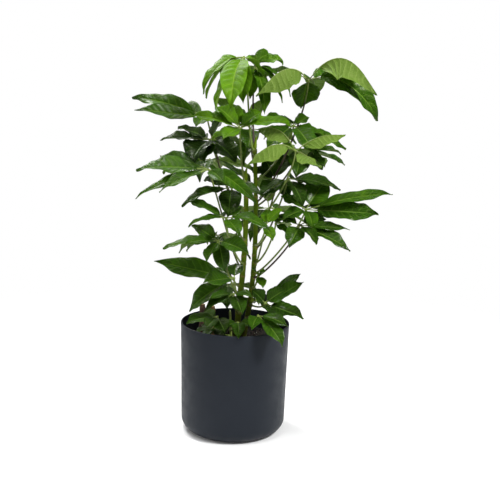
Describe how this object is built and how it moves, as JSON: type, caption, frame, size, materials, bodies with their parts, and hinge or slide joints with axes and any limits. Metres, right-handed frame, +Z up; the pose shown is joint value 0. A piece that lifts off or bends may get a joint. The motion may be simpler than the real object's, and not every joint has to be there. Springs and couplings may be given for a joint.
{
  "type": "potted umbrella plant",
  "caption": "Leafy indoor plant with two jointed stems and palmate drooping fronds, standing in soil in a round tapered planter.",
  "frame": {"origin": "middle of the pot's flat base, on the surface it stands on", "axes": "+Z up, -Y towards the side that the picture shows, +X to its right"},
  "size_m": [0.58, 0.42, 0.8721],
  "materials": {
    "pot": "matte charcoal with a fine grain, slightly lighter at the rim",
    "soil": "dark damp potting soil with bark chips",
    "stem": "smooth green skin with ring scars and pale specks",
    "bark": "rough brown bark with a pale cut top",
    "leaf": "glossy dark green blade with pale veins, paler and matt beneath",
    "young_leaf": "soft bright green blade with pale veins, paler and matt beneath"
  },
  "bodies": {
    "root": {"pot": "pot", "soil": "soil", "stem_left": "stem", "stem_right": "stem", "stub_dark": "bark", "stub_tan": "bark", "young_shoot": "leaf", "frond_crown_left": "young_leaf", "frond_crown_middle": "young_leaf", "frond_crown_right": "young_leaf", "frond_high_far_left": "leaf", "frond_high_front": "young_leaf", "frond_high_left": "leaf", "frond_mid_far_left": "leaf", "frond_mid_front_left": "leaf", "frond_mid_left": "leaf", "frond_low_front_left": "leaf", "frond_low_far_left": "leaf", "frond_low_front_small": "leaf", "frond_low_right": "leaf", "frond_rim_right": "leaf", "frond_low_crumpled": "young_leaf", "frond_mid_far_right": "leaf", "frond_mid_front_right": "leaf", "frond_mid_front_small": "young_leaf", "frond_mid_small": "young_leaf", "frond_high_front_right": "young_leaf", "frond_high_right": "leaf", "frond_mid_right": "leaf", "frond_high_back_right": "leaf", "frond_high_back_middle": "leaf", "frond_back_high_left": "leaf", "frond_back_mid_right": "leaf", "frond_back_high": "leaf", "frond_back_mid_left": "leaf", "frond_back_low_right": "leaf", "frond_back_low_left": "leaf"}
  },
  "joints": []
}
